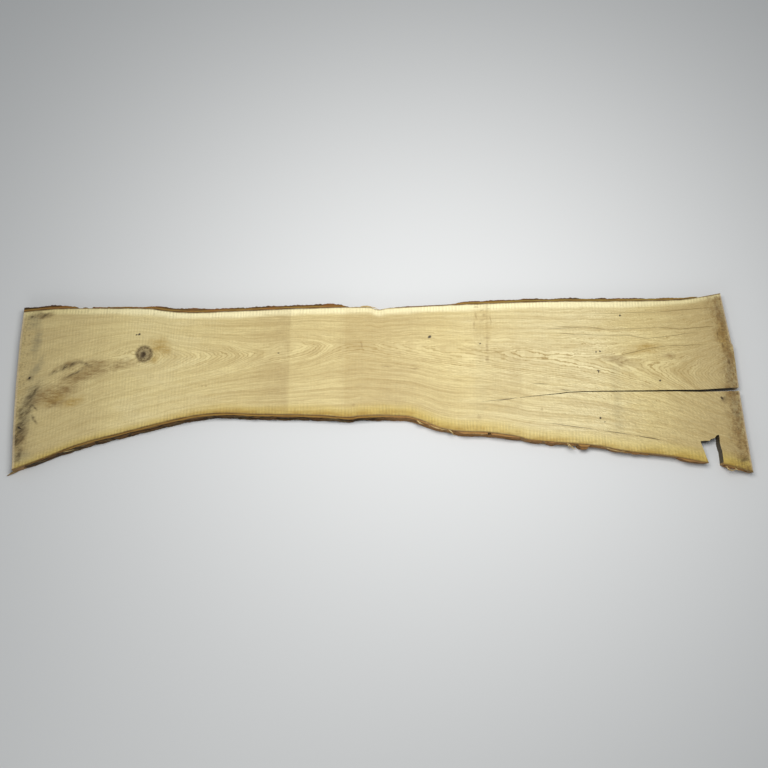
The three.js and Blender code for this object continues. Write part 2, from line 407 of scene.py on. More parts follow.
# %% Dark marks and smears, in millimetres
BLACK_MARKS = [
    # along, across, half length, half width, turn in degrees
    (290, 260, 13, 8, 30), (575, 220, 6, 4, 0), (1381, 389, 7, 6, 0), (1573, 2, 7, 6, 0),
    (1225, -213, 7, 6, 0), (1248, -235, 4, 3, 0), (1228, 170, 6, 4, 0), (1251, 173, 6, 5, 0),
    (1233, 55, 3, 13, 0), (1233, 60, 11, 3, 0), (-1357, 275, 9, 7, 20), (-1373, 272, 6, 4, 0),
    (-563, 164, 6, 4, 0), (1907, -99, 7, 9, 20), (-1949, 17, 7, 5, 60), (-1971, -268, 5, 16, 60),
]
SMEARS = [
    (-1931, -95, 76, 20, 66), (-1916, -66, 46, 12, 56), (-1943, -182, 62, 22, 62), (-1925, -160, 36, 11, 80),
    (-1962, -252, 56, 30, 56), (-1965, -284, 54, 24, 82), (-1896, -221, 30, 9, -52), (-1949, 17, 18, 15, 60),
    (-1975, -345, 22, 40, 20), (-1950, -330, 40, 12, 60), (-1972, -196, 44, 26, 84),
    (-1731, 93, 60, 15, 22), (-1760, 78, 34, 20, 20), (-1905, -150, 30, 8, -40),
    (-1747, 84, 44, 10, 25), (-1815, 48, 30, 11, 30), (-1914, 389, 44, 16, 8), (-1975, 380, 34, 10, 4),
    (-1983, -330, 16, 34, 10), (-1955, -425, 16, 34, -10), (-1700, 45, 60, 8, 30), (-1650, 100, 40, 10, -20),
    (1919, -105, 17, 18, 0), (1990, -70, 26, 9, -8), (1925, 285, 7, 20, 0), (1948, 205, 6, 16, 0),
    (1970, 110, 6, 20, 4), (1980, -190, 8, 26, 4), (1985, -445, 30, 16, 20),
]
print(len(BLACK_MARKS), "black marks and", len(SMEARS), "smears")

# %% Brown marks and soft clouds, in millimetres
BROWN_MARKS = [
    # along, across, half length, half width, turn in degrees
    (-982, -30, 7, 6, 0), (-960, -30, 7, 6, 0), (-137, -139, 11, 9, 0), (556, -207, 14, 16, 20),
    (905, -162, 9, 10, 0), (-1796, -127, 16, 12, 0), (616, 253, 24, 10, 0), (-95, 215, 7, 24, 8),
    (613, 200, 9, 50, 0), (611, 128, 12, 22, 0), (604, 392, 12, 14, 0), (205, 72, 40, 5, 2),
    (560, 440, 20, 6, 0), (590, 420, 14, 6, 30), (556, 390, 8, 26, 10), (632, 430, 12, 6, 0),
    (545, 330, 7, 30, 0), (640, 360, 6, 40, 4), (40, 84, 36, 4, 0), (590, 360, 24, 8, 20),
]
BROWN_CLOUDS = [
    (-1590, 70, 84, 56, 12), (-1560, 92, 60, 30, 20), (-1690, 20, 110, 40, 24), (-1740, -50, 90, 40, 22),
    (-1822, -93, 56, 34, 24), (-1784, -133, 60, 24, 20), (-1731, 90, 74, 30, 22), (-1610, 40, 120, 30, 20),
    (-1450, 92, 90, 26, 14), (-1860, -90, 90, 50, 30), (-1914, 392, 60, 16, 4), (-1960, -330, 44, 80, 0),
    (1635, 149, 30, 16, 6), (1350, 120, 90, 24, -14),
    (1955, 330, 22, 110, 6), (1975, 160, 20, 110, 2), (1955, -60, 36, 60, 0), (1975, -300, 26, 110, 8),
]
OCHRE_CLOUDS = [
    (-1235, 205, 58, 50, 0), (-1200, 180, 34, 30, 0), (-1262, 128, 30, 24, 0), (-1800, -102, 66, 40, 20),
    (-1700, -120, 70, 30, 16), (1500, 190, 90, 30, 10), (1950, 260, 30, 90, 6),
]
GREY_CLOUDS = [
    (-1930, -110, 120, 44, 66), (-1957, -270, 100, 34, 76), (-1932, 235, 96, 26, 86), (-1960, 350, 40, 50, 0),
    (-1965, -420, 30, 70, 80), (-1915, 70, 80, 20, 70), (1975, 60, 30, 150, 2), (1960, 380, 30, 90, 8),
    (1985, -180, 26, 130, 4),
]
print(len(BROWN_MARKS), "brown marks and", len(BROWN_CLOUDS + OCHRE_CLOUDS + GREY_CLOUDS), "clouds")

# %% Fine cracks and dark rings, in millimetres
FINE_CRACKS = [
    # along and across at each end, then the width
    (780, -95, 652, -117, 1.8), (1011, -52, 1075, -57, 1.8), (918, -238, 1217, -281, 1.6),
    (1217, -281, 1400, -309, 1.8), (1400, -309, 1568, -339, 2.4), (780, -95, 560, -122, 1.2),
    (851, -16, 956, -19, 1.6), (930, 309, 1160, 315, 1.0),
]
DARK_RINGS = [
    # a few rings that stained dark: along and across at each end of a stretch, then the width
    (1034, 321, 1197, 319, 1.3), (1197, 319, 1294, 303, 1.3), (1294, 303, 1595, 317, 1.0),
    (1595, 317, 1725, 308, 1.4), (1725, 308, 1903, 324, 1.6), (1032, 283, 1116, 274, 1.4),
    (1116, 274, 1303, 269, 1.2), (1303, 269, 1422, 271, 1.3), (1422, 268, 1523, 251, 1.2),
    (1523, 251, 1654, 265, 1.2), (1654, 265, 1787, 286, 1.1), (1385, 156, 1517, 190, 1.6),
    (1517, 190, 1637, 207, 1.3), (1637, 207, 1830, 214, 1.4), (1216, 398, 1598, 411, 0.9),
    (1598, 411, 1916, 439, 1.2),
]
print(len(FINE_CRACKS), "fine cracks and", len(DARK_RINGS), "stretches of dark ring")

# %% [markdown]
# ### From places to masks
# A spherical gradient falls from 1 at its centre to 0 one cell away. Squeezed to the mark's own length
# and width, it says how far in the mark a point is. A crack or a dark ring is only a very thin mark.

# %% Turn the places into masks


def marks(finish, warped, places, full=0.55, none=1.25):
    """How much a point is in any of the marks: 1 up to the full reach and 0 past the last."""
    total = None
    for along, across, half_length, half_width, turn in places:
        size = (half_length * MM * none, half_width * MM * none, ENDLESS)
        centre = (along * MM, across * MM, 0)
        cells = finish.cells(size, math.radians(turn), centre, warped)
        settings = {"gradient_type": "SPHERICAL"}
        nearness = finish.add("ShaderNodeTexGradient", settings, {"Vector": cells}, "Fac")
        inside = finish.smooth(nearness, 0, 1 - full / none)
        total = inside if total is None else finish.of("MAXIMUM", total, inside)
    return total


def as_marks(cracks):
    """Fine cracks, given by their ends and width, as long thin marks."""
    places = []
    for x0, y0, x1, y1, width in cracks:
        turn = math.degrees(math.atan2(y1 - y0, x1 - x0))
        places.append(((x0 + x1) / 2, (y0 + y1) / 2, math.hypot(x1 - x0, y1 - y0) / 2, width * 1.5, turn))
    return places


def warped_place(finish, size, reach):
    """Object coordinates pushed about by two clouds, so that outlines lose their perfect curve."""
    along = finish.cloud((size, size, size), 3) - 0.5
    across = finish.cloud((size, size, size), 3, centre=(1, 1, 1)) - 0.5
    sockets = {"X": finish.x + along * reach, "Y": finish.y + across * reach, "Z": finish.z}
    return finish.add("ShaderNodeCombineXYZ", {}, sockets)


print("the longest crack is", round(2 * max(place[2] for place in as_marks(FINE_CRACKS))), "mm")

# %% [markdown]
# ## Tones of the wood
# Dry oak is pale tan at its heart and cream to yellow in the sapwood, and each stain is the same wood
# gone darker. The tones are given as plain 0 to 255 values, because that is how a colour
# picker shows them. A shader wants linear light, so one helper turns them all.

# %% Mix the tones


def tone(red, green, blue):
    """A colour given as 0 to 255, as the linear values that a shader wants."""
    return (*[(v / 255) ** 2.2 for v in (red, green, blue)], 1)


HEART_PALE = tone(222, 209, 163)
HEART_TAN = tone(208, 190, 134)
HEART_DULL = tone(180, 160, 112)
SAP_CREAM = tone(233, 221, 174)
SAP_YELLOW = tone(187, 163, 86)
SAP_DEEP = tone(154, 122, 42)
SAP_LIGHT = tone(218, 202, 146)
SAP_OLIVE = tone(206, 190, 134)
EARLY_BROWN = tone(152, 126, 74)
EARLY_DARK = tone(104, 84, 40)
STAIN_BROWN = tone(120, 92, 50)
STAIN_OCHRE = tone(156, 124, 56)
STAIN_GREY = tone(112, 106, 84)
SMEAR_DARK = tone(74, 60, 36)
MARK_BLACK = tone(38, 30, 22)
# Painted shade along the fine cracks, laid over their carved grooves.
HAIRLINE_PAINTED_SHADE = tone(92, 76, 46)
RIM_PALE = tone(196, 178, 152)
RESIDUE_BROWN = tone(112, 88, 46)
RESIDUE_RUSTY = tone(142, 102, 58)
# Dark brown for the crack's walls, partly stain and partly painted shade; nearly black painted shade for the
# cut-out's walls.
CRACK_STAIN_AND_SHADE = tone(84, 66, 42)
CUT_OUT_PAINTED_SHADE = tone(38, 30, 20)
print("heartwood in linear light:", [round(v, 2) for v in HEART_TAN[:3]])

# %% [markdown]
# ## Heartwood and its rings
# Heartwood goes dull where weather or a stacking stick reached it, here most of all at the two ends.
# One curve says how dull it is along the slab, and a cloud makes the change patchy. The rings only
# darken what they cross: runs of lean years as soft bands, and each spring's pores as a fine line.

# %% Colour the heartwood and its rings
DULLNESS = [
    # along in millimetres, and how dull the heartwood is there, from 0, pale, to 1, dull
    (-2060, 0.96), (-1900, 0.82), (-1560, 0.66), (-1330, 0.44), (-1040, 0.46), (-760, 0.54), (-620, 0.60),
    (-530, 0.64), (-490, 0.54), (-240, 0.56), (-160, 0.76), (60, 0.76), (320, 0.56), (640, 0.36),
    (1150, 0.20), (1300, 0.34), (1600, 0.60), (1780, 0.86), (1900, 0.98), (2080, 1.0),
]
LEAN_YEARS = [
    # how many years a run lasts, how far it reaches in metres, its detail and how much it darkens
    (6.0, 1.2, 1, 0.22), (2.2, 0.5, 1, 0.26), (1.4, 0.08, 2, 0.20),
]
SPRING_SHARE = 0.90


def heartwood(finish):
    dullness = drawn(finish, share_of(finish.x / MM, ALONG), DULLNESS, ALONG, (0, 1))
    patches = finish.cloud((0.30, 0.06, 0.3), 4, 0.65) - 0.5
    stops = [(0.0, HEART_PALE), (0.5, HEART_TAN), (1.0, HEART_DULL)]
    return finish.add("ShaderNodeValToRGB", {"stops": stops}, {"Fac": dullness + patches * 0.5})


def ring_lines(finish, rings, colour):
    """The colour with its rings, which are fainter in the weathered wood at the left."""
    clear = 0.58 + 0.42 * finish.smooth(finish.x, -1.25, -0.85)
    for years, length, detail, share in LEAN_YEARS:
        lean = finish.smooth(rings.spell(finish, years, length, detail), 0.49, 0.61)
        colour = finish.mix(lean * share * clear, colour, EARLY_BROWN)
    strength = (0.25 + 0.75 * rings.year_chance) * clear
    return finish.mix(rings.early * strength * SPRING_SHARE, colour, EARLY_BROWN)


print("the heartwood is palest at", min(DULLNESS, key=lambda place: place[1])[0], "mm")

# %% [markdown]
# ## Sapwood
# The youngest rings, under the bark, are sapwood: a cream band along the far edge, and a wider yellow
# one along the near edge that deepens to gold by the bark. Both are measured inwards from the edges.
# A ragged cloud is added to that distance, because sapwood never ends at a ruled line.

# %% Lay the sapwood bands
FAR_SAPWOOD = (0.040, 0.026)  # width in metres, left of the change and right of it
NEAR_SAPWOOD = (0.048, 0.082)


def sapwood(finish, edges, colour):
    """The colour with its sapwood, and how far a point is in the far and in the near band."""
    ragged = (finish.cloud((0.12, 0.02, 0.1), 3) - 0.5) * 0.024
    far_gain, near_gain = FAR_SAPWOOD[1] - FAR_SAPWOOD[0], NEAR_SAPWOOD[1] - NEAR_SAPWOOD[0]
    far_width = FAR_SAPWOOD[0] + far_gain * finish.smooth(finish.x, 1.3, 1.9)
    near_width = NEAR_SAPWOOD[0] + near_gain * finish.smooth(finish.x, -1.6, 0.4)
    far_band = 1 - finish.smooth(edges.from_far + ragged - far_width, -0.016, 0.012)
    near_band = 1 - finish.smooth(edges.from_near + ragged - near_width, -0.060, 0.010)
    cream = finish.smooth(finish.x, -1.95, -1.2) * (1 - 0.7 * finish.smooth(finish.x, 1.2, 1.9))
    far_tint = finish.mix(cream, SAP_OLIVE, SAP_CREAM)
    colour = finish.mix(far_band * 0.85, colour, far_tint)
    waist = finish.smooth(finish.x, -1.5, -0.8) * (1 - 0.35 * finish.smooth(finish.x, 0.4, 0.9))
    by_bark = 1 - finish.smooth(edges.from_near + ragged * 0.5, 0.002, 0.055)
    golden = 0.5 + finish.smooth(finish.cloud((0.10, 0.03, 0.1), 3, 0.6), 0.35, 0.62)
    light = finish.smooth(finish.x, 0.3, 0.9) * (1 - finish.smooth(finish.x, 1.3, 1.8)) * 0.38
    near_tint = finish.mix(light, SAP_YELLOW, SAP_LIGHT)
    near_tint = finish.mix(by_bark * (0.30 + 0.50 * waist) * golden, near_tint, SAP_DEEP)
    return finish.mix(near_band * 0.92, colour, near_tint), far_band, near_band


print("sapwood is", [round(v / MM) for v in FAR_SAPWOOD + NEAR_SAPWOOD], "mm wide")

# %% [markdown]
# ## The knot
# A knot is a branch that the trunk grew round, so the saw cut its rings straight across. It shows as a
# small target of light and dark rings with a rotten heart. A ramp over the distance from its centre
# holds the rings, and beads of noise break them up.

# %% Draw the knot
KNOT_SIZE = (0.050, 0.052)
KNOT_TURN = 0.3
KNOT_RINGS = [
    (0.0, tone(124, 106, 74)), (0.34, tone(150, 132, 94)), (0.44, tone(120, 104, 72)),
    (0.54, tone(152, 134, 96)), (0.62, tone(112, 94, 60)), (0.88, tone(92, 76, 46)),
    (1.0, tone(134, 116, 76)),
]
ROT_SIZE = (0.017, 0.026)
ROT_TURN = -0.2
ROT_SHIFT = 0.005
ROT_DARK = tone(58, 43, 22)


def knot(finish, colour, warped):
    centre = (KNOT[0] * MM, KNOT[1] * MM, 0)
    reach = finish.reach(finish.cells((*KNOT_SIZE, ENDLESS), KNOT_TURN, centre, warped))
    beads = finish.smooth(finish.cloud((0.010, 0.010, 0.05), 2), 0.35, 0.65)
    face = finish.add("ShaderNodeValToRGB", {"stops": KNOT_RINGS}, {"Fac": reach + beads * 0.22 - 0.11})
    rim = 1 - finish.smooth(reach + beads * 0.10, 0.84, 1.24)
    colour = finish.mix((0.80 + 0.20 * beads) * rim, colour, face)
    rotten = (centre[0] - ROT_SHIFT, centre[1] - ROT_SHIFT, 0)
    rot_reach = finish.reach(finish.cells((*ROT_SIZE, ENDLESS), ROT_TURN, rotten, warped))
    return finish.mix((1 - finish.smooth(rot_reach, 0.35, 1.25)) * 0.92, colour, ROT_DARK)


print("the knot has", len(KNOT_RINGS), "tones of ring")

# %% [markdown]
# ## Stacking sticks and saw ribs
# While a slab dries it lies on sticks, and each stick leaves a faint band across the face. The band saw
# leaves ribs across it too, one for each forward step of the log. Both are patchy, so each is a plain
# band or wave that noise fades in and out. The ribs are too shallow to model, and get a slight bump.

# %% Stain the face where the sticks lay
STICKS = [
    # from and to along the slab, from and to across it, how softly it starts and ends, stain and strength
    (-690, -498, -600, 600, 90, 8, STAIN_BROWN, 0.13), (-560, -500, -600, 600, 40, 6, STAIN_BROWN, 0.08),
    (545, 640, 230, 600, 12, 12, STAIN_OCHRE, 0.14), (600, 802, -190, 190, 60, 8, STAIN_BROWN, 0.11),
    (540, 600, -200, 330, 20, 20, STAIN_GREY, 0.08), (612, 626, 100, 480, 6, 6, STAIN_BROWN, 0.14),
    (1298, 1352, -290, 90, 16, 16, STAIN_GREY, 0.16), (-1965, -1895, -600, 600, 30, 30, STAIN_GREY, 0.07),
    (-190, 60, -600, 600, 8, 120, STAIN_OCHRE, 0.10),
]
SIDE_SOFTNESS = 30


def within(finish, value, start, end, soft_start, soft_end):
    """1 between two places given in millimetres, fading to 0 past each of them."""
    begun = finish.smooth(value, (start - soft_start) * MM, (start + soft_start) * MM)
    ended = finish.smooth(value, (end - soft_end) * MM, (end + soft_end) * MM)
    return begun * (1 - ended)


def stick_stain(finish, colour, start, end, low, high, soft_start, soft_end, tint, share):
    """A band across the face, where a stacking stick lay while the slab dried."""
    band = within(finish, finish.x, start, end, soft_start, soft_end)
    across = within(finish, finish.y, low, high, SIDE_SOFTNESS, SIDE_SOFTNESS)
    patches = 0.4 + 0.6 * finish.smooth(finish.cloud((0.03, 0.03, 0.2), 3), 0.25, 0.6)
    return finish.mix(band * across * patches * share, colour, tint)


print(len(STICKS), "bands from stacking sticks")

# %% Rule the saw's ribs
RIB_PITCH = 0.0178


def saw_ribs(finish):
    """The band saw's ribs across the slab, uneven in strength, with finer ribs between them."""
    bend = finish.cloud((0.5, 0.4, 1), 1) * 0.03 + finish.cloud((0.06, 0.2, 1), 2) * 0.022
    rib = finish.of("SINE", (finish.x + bend) * (2 * math.pi / RIB_PITCH))
    fine = finish.of("SINE", (finish.x + bend * 0.6) * (2 * math.pi / (RIB_PITCH / 4)))
    bars = (finish.cloud((0.035, 0.5, 1), 2) - 0.5) * 2
    ribs = rib * 0.75 + fine * 0.25
    return ribs * finish.smooth(finish.cloud((0.08, 0.04, 1), 3, 0.6), 0.36, 0.60) * 1.2 + bars


print("about", round((SLAB_HIGH.x - SLAB_LOW.x) / RIB_PITCH), "ribs from end to end")

# %% [markdown]
# ## Telling the walls apart
# The flanks are brown with what the bark left. The crack's walls are dark brown, partly stained wood and
# partly painted shade, and the cut-out's walls are painted nearly black as painted shade. One finish
# covers the whole slab. The face normal tells a wall from a sawn face, and the distance to the nearest
# edge or end tells which wall it is. Separate materials would show a hard seam between them.

# %% Tell the walls apart
NOTCH_LEFT = (1.70, 1.72)
NOTCH_BACK = (-0.27, -0.25)


class Walls:
    """Which kind of wall a point is on, 0 or 1 each: a natural flank, a crack or cut-out, or neither."""

    def __init__(self, finish, edges):
        normal = finish.add("ShaderNodeTexCoord", {}, {}, "Normal")
        upright = 1 - finish.smooth(abs(finish.split(normal)[2]), 0.45, 0.85)
        inwards = finish.of("MINIMUM", edges.from_far, edges.from_near)
        deep = finish.smooth(inwards, 0.010, 0.016)
        from_end = finish.of("MINIMUM", edges.from_left, edges.from_right)
        self.flank = upright * (1 - deep)
        self.cut = upright * deep * finish.smooth(from_end, 0.012, 0.030)


def with_walls(finish, edges, colour):
    """The colour with bark residue on the flanks, dark brown in the crack, partly painted shade, and painted
    shade on the cut-out's walls.
    """
    walls = Walls(finish, edges)
    fibres = finish.smooth(finish.cloud((0.09, 0.05, 0.006), 4, 0.65), 0.30, 0.60)
    torn = finish.smooth(finish.cloud((0.07, 0.05, 0.014), 3, 0.6), 0.38, 0.62)
    residue = finish.mix(torn, RESIDUE_BROWN, RESIDUE_RUSTY)
    colour = finish.mix(walls.flank * (0.55 + 0.4 * fibres), colour, residue)
    in_notch = finish.smooth(finish.x, *NOTCH_LEFT) * (1 - finish.smooth(finish.y, *NOTCH_BACK))
    # Painted shade: the crack's walls go dark brown, partly stain and partly shade, and the cut-out's walls
    # nearly black.
    return finish.mix(walls.cut * 0.9, colour, finish.mix(in_notch, CRACK_STAIN_AND_SHADE, CUT_OUT_PAINTED_SHADE))


print("the cut-out's walls start", NOTCH_LEFT[0], "m right of the middle")

# %% [markdown]
# ## The sawn oak
# Wood, stains, marks, dirt at the ends, the saw's ribs and the grain are laid over each other in the
# order in which they came to be. Pores and rays are too small to see from a step away, but close by
# they are what says oak, so they are here at their real size.

# %% Lay the stains and the marks
CLOUDS = [
    (GREY_CLOUDS, STAIN_GREY, 0.55), (OCHRE_CLOUDS, STAIN_OCHRE, 0.80), (BROWN_CLOUDS, STAIN_BROWN, 0.80),
]
SMEAR_TURN = math.radians(44)


def stained(finish, colour, streaks):
    """The colour with its soft clouds, and with the bands where the sticks lay."""
    cloudy = warped_place(finish, 0.06, 0.06)
    for clouds, tint, share in CLOUDS:
        soft = marks(finish, cloudy, clouds, full=0.1, none=1.6)
        colour = finish.mix(soft * streaks * share, colour, tint)
    for stick in STICKS:
        colour = stick_stain(finish, colour, *stick)
    return colour


def marked(finish, colour, streaks):
    """The colour with its knot, brown marks, smears, black marks, dark rings, and painted shade along the
    fine cracks.
    """
    warped = warped_place(finish, 0.018, 0.012)
    colour = knot(finish, colour, warped)
    colour = finish.mix(marks(finish, warped, BROWN_MARKS, full=0.2) * streaks * 0.5, colour, STAIN_BROWN)
    frayed = warped_place(finish, 0.03, 0.016)
    strokes = finish.smooth(finish.cloud((0.050, 0.014, 0.05), 4, 0.6, SMEAR_TURN), 0.32, 0.66)
    smeared = marks(finish, frayed, SMEARS, full=0.0, none=1.6) * (0.25 + 0.75 * strokes)
    colour = finish.mix(smeared * 0.95, colour, SMEAR_DARK)
    colour = finish.mix(marks(finish, warped, BLACK_MARKS) * 0.92, colour, MARK_BLACK)
    wavy = warped_place(finish, 0.05, 0.006)
    dark_rings = marks(finish, wavy, as_marks(DARK_RINGS), full=0.7, none=1.7)
    colour = finish.mix(dark_rings * 0.55, colour, EARLY_DARK)
    # Painted shade: a dark brown line along each fine crack, wider than its carved groove.
    hairlines = marks(finish, wavy, as_marks(FINE_CRACKS), full=0.3)
    return finish.mix(hairlines * 0.62, colour, HAIRLINE_PAINTED_SHADE)


print("three kinds of cloud, laid in this order:", [len(clouds) for clouds, tint, share in CLOUDS])

# %% Add the dirt and the grain
CURL_TURN = math.radians(-38)


def with_dirty_rims(finish, edges, colour, streaks):
    """The colour with speckled ends, a pale rim at each end cut and residue along the natural edges."""
    specks = finish.smooth(finish.cloud((0.016, 0.011, 0.05), 4, 0.7), 0.50, 0.66)
    right_zone = 1 - finish.smooth(edges.from_right, 0.02, 0.14)
    left_zone = 1 - finish.smooth(edges.from_left, 0.01, 0.12)
    blotches = finish.smooth(finish.cloud((0.020, 0.034, 0.05), 4, 0.7), 0.42, 0.62)
    colour = finish.mix(right_zone * (0.14 + 0.60 * blotches), colour, STAIN_BROWN)
    colour = finish.mix((right_zone + left_zone) * specks * 0.46, colour, SMEAR_DARK)
    left_rim = 1 - finish.smooth(edges.from_left, 0.009, 0.015)
    right_rim = 1 - finish.smooth(edges.from_right, 0.005, 0.010)
    colour = finish.mix(finish.of("MAXIMUM", left_rim, right_rim) * 0.4, colour, RIM_PALE)
    outline = 1 - finish.smooth(finish.of("MINIMUM", edges.from_far, edges.from_near), 0.003, 0.010)
    return finish.mix(outline * (0.35 + 0.65 * streaks), colour, RESIDUE_BROWN)


def grained(finish, rings, colour, far_band, near_band):
    """The colour with ribs, mottle, curl, pores and rays, then where the pores are, then the relief."""
    ribs = saw_ribs(finish)
    sawn_left = 1 - finish.smooth(finish.x, -1.3, -0.6)
    rib_share = 0.025 + 0.045 * sawn_left + 0.10 * near_band + 0.08 * far_band
    colour = finish.darken(colour, ribs * rib_share)
    mottle = finish.cloud((0.026, 0.0080, 0.01), 3, 0.65) - 0.5
    dashes = finish.cloud((0.05, 0.0022, 0.01), 3, 0.65) - 0.5
    colour = finish.darken(colour, mottle * (0.22 + 0.10 * sawn_left) + dashes * 0.25)
    curl = finish.cloud((0.036, 0.010, 0.05), 3, 0.6, CURL_TURN) - 0.5
    curly_zone = finish.smooth(finish.x, 0.75, 1.15) * (1 - 0.65 * finish.smooth(finish.y, -0.06, 0.10))
    colour = finish.darken(colour, curl * curly_zone * 0.55)
    pores = finish.smooth(finish.cloud((0.011, 0.0007, 0.0007), 1), 0.58, 0.70) * rings.early
    colour = finish.darken(colour, pores * 0.30)
    rays = finish.smooth(finish.cloud((0.016, 0.0011, 0.016), 1), 0.66, 0.76)
    colour = finish.darken(colour, rays * 0.12)
    relief = ribs * 0.35 - pores * 0.5 - rings.early * 0.15 - rays * 0.15
    return colour, pores, relief


print("the curl is turned", round(math.degrees(CURL_TURN)), "degrees from the grain")

# %% Put the finish together
RELIEF_DEPTH = 0.0004


def sawn_oak():
    finish = Finish("sawn_oak", 0.62)
    edges = Edges(finish)
    rings = Rings(finish, edges)
    colour = ring_lines(finish, rings, heartwood(finish))
    colour, far_band, near_band = sapwood(finish, edges, colour)
    streaks = 0.3 + 0.7 * finish.smooth(finish.cloud((0.05, 0.012, 0.1), 3, 0.6), 0.25, 0.7)
    colour = stained(finish, colour, streaks)
    colour = marked(finish, colour, streaks)
    colour = with_dirty_rims(finish, edges, colour, streaks)
    colour, pores, relief = grained(finish, rings, colour, far_band, near_band)
    colour = with_walls(finish, edges, colour)
    finish.join(colour, finish.shader.inputs["Base Color"])
    finish.join(0.56 + 0.14 * rings.early + 0.1 * pores, finish.shader.inputs["Roughness"])
    finish.join(finish.raise_by(relief, RELIEF_DEPTH), finish.shader.inputs["Normal"])
    return finish.material


oak_top = sawn_oak()
print("sawn oak has", len(oak_top.node_tree.nodes), "nodes")

# %% [markdown]
# ## The slab's walls
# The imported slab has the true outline, but its walls are plain: a facet every 25 mm. The real walls
# tell how each was made. The flanks are torn smooth where bark came away, the two ends are chainsawn,
# the crack is fibrous and the cut-out has one snapped end. So the solid is copied, its walls are cut
# into small facets, and each facet is pushed a little way in. Nothing is ever pushed out, so the slab
# keeps its size and the bark still fits.

# %% Take a solid's walls and make them finer
WELD = 0.00001  # metres, as is the next
LEVEL_SLACK = 0.00002
PIT_ZONE = 30  # millimetres round the knot's centre
MOST_HALVINGS = 8


def walls_of(name):
    """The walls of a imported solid, joined up, with the two sawn faces taken off."""
    bm = bmesh.new()
    bm.from_mesh(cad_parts[name].data)
    bmesh.ops.remove_doubles(bm, verts=bm.verts, dist=WELD)
    low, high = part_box(name)
    sawn = [face for face in bm.faces if level(face, low.z) or level(face, high.z) or in_knot(face)]
    bmesh.ops.delete(bm, geom=sawn, context="FACES")
    return bm


def in_knot(face):
    """Whether a face belongs to the shallow pit in the knot, which is carved again later."""
    centre = face.calc_center_median() / MM
    return math.dist(centre.xy, KNOT) < PIT_ZONE


def level(face, height):
    return all(abs(point.co.z - height) < LEVEL_SLACK for point in face.verts)


def refine(bm, cell, wanted):
    """Halve each edge longer than a cell (along, across, up) if a face that holds it is wanted."""
    for halving in range(MOST_HALVINGS):
        bm.normal_update()
        long_edges = []
        for edge in bm.edges:
            run = edge.verts[0].co - edge.verts[1].co
            cells = Vector((run.x / cell[0], run.y / cell[1], run.z / cell[2])).length
            if cells > 1 and any(wanted(face) for face in edge.link_faces):
                long_edges.append(edge)
        if not long_edges:
            return
        bmesh.ops.subdivide_edges(bm, edges=long_edges, cuts=1, use_single_edge=True)
        bmesh.ops.triangulate(bm, faces=[face for face in bm.faces if len(face.verts) > 3])


bm = walls_of("oak_slab")
print("the packed slab's walls have", len(bm.faces), "faces")

# %% [markdown]
# ### Pressing in and closing
# Each point of a wall moves level with the floor, along the mean of its faces' normals, so a wall keeps
# its height and meets the sawn faces at a clean edge. The two sawn faces are filled in afterwards, each
# as one flat face cut into triangles, because moved points would have folded the old ones.

# %% Press walls in, close them and place the piece
SHARP_ANGLE = math.radians(38)


def fill_sawn_faces(bm):
    """Close each open rim again with one flat face, cut into triangles, and turn all faces outwards."""
    rims = [edge for edge in bm.edges if edge.is_boundary]
    sawn = bmesh.ops.holes_fill(bm, edges=rims, sides=0)["faces"]
    bmesh.ops.triangulate(bm, faces=sawn, ngon_method="EAR_CLIP")
    bmesh.ops.recalc_face_normals(bm, faces=bm.faces)
    if bm.calc_volume(signed=True) < 0:
        bmesh.ops.reverse_faces(bm, faces=bm.faces)


def press_in(bm, wanted, depth_at):
    """Push the points of the wanted faces inwards, level with the floor, by a depth for each place."""
    bm.normal_update()
    moves = []
    for point in bm.verts:
        outward = sum((face.normal for face in point.link_faces if wanted(face)), Vector())
        outward.z = 0
        if outward.length > 0.1:
            outward.normalize()
            moves.append((point, outward * depth_at(point.co / MM, outward) * MM))
    for point, move in moves:
        point.co -= move


def to_piece(bm, name, finish):
    """Turn a finished bmesh into a smooth-shaded piece that rides on the slab's body."""
    bm.normal_update()
    for edge in bm.edges:
        edge.smooth = edge.calc_face_angle(0) < SHARP_ANGLE
    for face in bm.faces:
        face.smooth = True
    mesh = bpy.data.meshes.new(name)
    bm.to_mesh(mesh)
    bm.free()
    mesh.materials.append(finish)
    piece = bpy.data.objects.new(name, mesh)
    bpy.context.scene.collection.objects.link(piece)
    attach(piece, "root")
    return piece


print("edges sharper than", round(math.degrees(SHARP_ANGLE)), "degrees stay sharp")

# %% How deep each wall is worn, in millimetres
LEFT_SAWN = -1960
RIGHT_SAWN = 1950
NOTCH_ALONG = (1740, 1880)
NOTCH_INNER = -300
NOTCH_OUTER = -420
CRACK_SIDES = (-130, 0)
CRACK_START = 780
CRACK_TIP = 760
CRACK_WIDENS = 500


def grain_noise(place, along, across, up, seed=0.0):
    """Noise from 0 to 1 with cells of the given size in millimetres."""
    return 0.5 + 0.5 * noise.noise(Vector((place.x / along + seed, place.y / across, place.z / up)))


